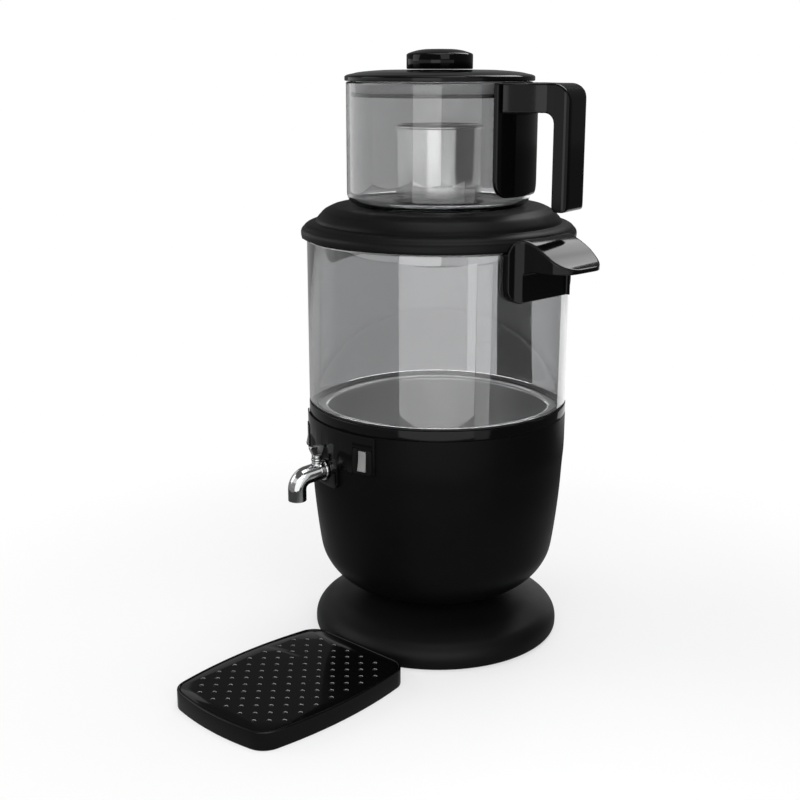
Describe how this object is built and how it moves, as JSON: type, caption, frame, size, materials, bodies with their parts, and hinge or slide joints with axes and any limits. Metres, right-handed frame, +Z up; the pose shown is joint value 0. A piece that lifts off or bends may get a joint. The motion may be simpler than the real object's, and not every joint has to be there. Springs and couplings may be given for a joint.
{
  "type": "tea maker",
  "caption": "Footed electric tea maker with a glass water tank, a tap, a lift-off collar, a glass teapot with infuser, and a drip tray.",
  "frame": {"origin": "centre of the base cover's flat underside, on the object's vertical axis", "axes": "+Z up along the tank and teapot axis, -Y to the front where the tap is, +X to the right seen from the front"},
  "size_m": [0.2638, 0.3227, 0.4248],
  "materials": {
    "satin_black_plastic": "satin black moulded plastic",
    "satin_black_paint": "satin black paint on steel",
    "gloss_black_plastic": "polished black plastic",
    "rubber": "black rubber",
    "light_grey_plastic": "light grey moulded plastic",
    "chrome": "polished chrome plate",
    "brushed_steel": "brushed stainless steel",
    "glass": "clear glass with a light smoke tint"
  },
  "bodies": {
    "base": {"pedestal_foot": "satin_black_plastic", "base_cover": "satin_black_plastic", "foot_pad_1": "rubber", "foot_pad_2": "rubber", "foot_pad_3": "rubber", "foot_pad_4": "rubber", "cord_gland": "rubber", "body_shell": "satin_black_paint", "trim_band": "gloss_black_plastic", "boiler_bowl": "brushed_steel", "heating_element": "brushed_steel", "thermostat": "satin_black_plastic", "tank_gasket": "rubber", "glass_tank": "glass", "control_panel": "gloss_black_plastic", "switch_frame_right": "satin_black_plastic", "switch_frame_left": "satin_black_plastic", "tap_flange": "chrome", "tap_body": "chrome", "tap_bonnet": "chrome", "tap_washer": "rubber", "tap_nut": "chrome"},
    "right_rocker": {"rocker_right": "light_grey_plastic"},
    "left_rocker": {"rocker_left": "light_grey_plastic"},
    "tap_handle": {"tap_lever": "chrome", "tap_spindle": "brushed_steel"},
    "collar_set": {"collar": "satin_black_plastic", "collar_gasket": "rubber", "side_handle_near": "gloss_black_plastic", "side_handle_far": "gloss_black_plastic"},
    "teapot": {"teapot_glass": "glass", "teapot_handle": "gloss_black_plastic"},
    "lid": {"lid_disc": "gloss_black_plastic", "lid_skirt": "glass", "lid_gasket": "rubber", "lid_knob": "gloss_black_plastic"},
    "infuser": {"infuser_cup": "brushed_steel", "infuser_foot": "glass"},
    "tray": {"drip_tray": "gloss_black_plastic"},
    "grille": {"drip_grille": "gloss_black_plastic"}
  },
  "joints": [
    {"name": "right_rocker_tilt", "type": "hinge", "parent": "base", "child": "right_rocker", "pos_m": [0.038, -0.08576, 0.1506], "axis": [0.9143, 0.4051, 0], "range_deg": [0, 12]},
    {"name": "left_rocker_tilt", "type": "hinge", "parent": "base", "child": "left_rocker", "pos_m": [-0.038, -0.08576, 0.1506], "axis": [0.9143, -0.4051, 0], "range_deg": [0, 12]},
    {"name": "tap_lever_turn", "type": "hinge", "parent": "base", "child": "tap_handle", "pos_m": [0, -0.1015, 0.145], "axis": [0, 0, 1], "range_deg": [0, 90]},
    {"name": "collar_lift", "type": "slide", "parent": "base", "child": "collar_set", "axis": [0, 0, 1], "range_m": [0, 0.12]},
    {"name": "teapot_lift", "type": "slide", "parent": "collar_set", "child": "teapot", "axis": [0, 0, 1], "range_m": [0, 0.15]},
    {"name": "lid_lift", "type": "slide", "parent": "teapot", "child": "lid", "axis": [0, 0, 1], "range_m": [0, 0.13]},
    {"name": "infuser_lift", "type": "slide", "parent": "teapot", "child": "infuser", "axis": [0, 0, 1], "range_m": [0, 0.078]},
    {"name": "tray_slide", "type": "slide", "parent": "base", "child": "tray", "axis": [0.2554, -0.9668, 0], "range_m": [0, 0.1]},
    {"name": "grille_lift", "type": "slide", "parent": "tray", "child": "grille", "axis": [0, 0, 1], "range_m": [0, 0.04]}
  ],
  "couplings": [
    {"joint": "infuser_lift", "follows": "lid_lift", "ratio": 0.6}
  ]
}
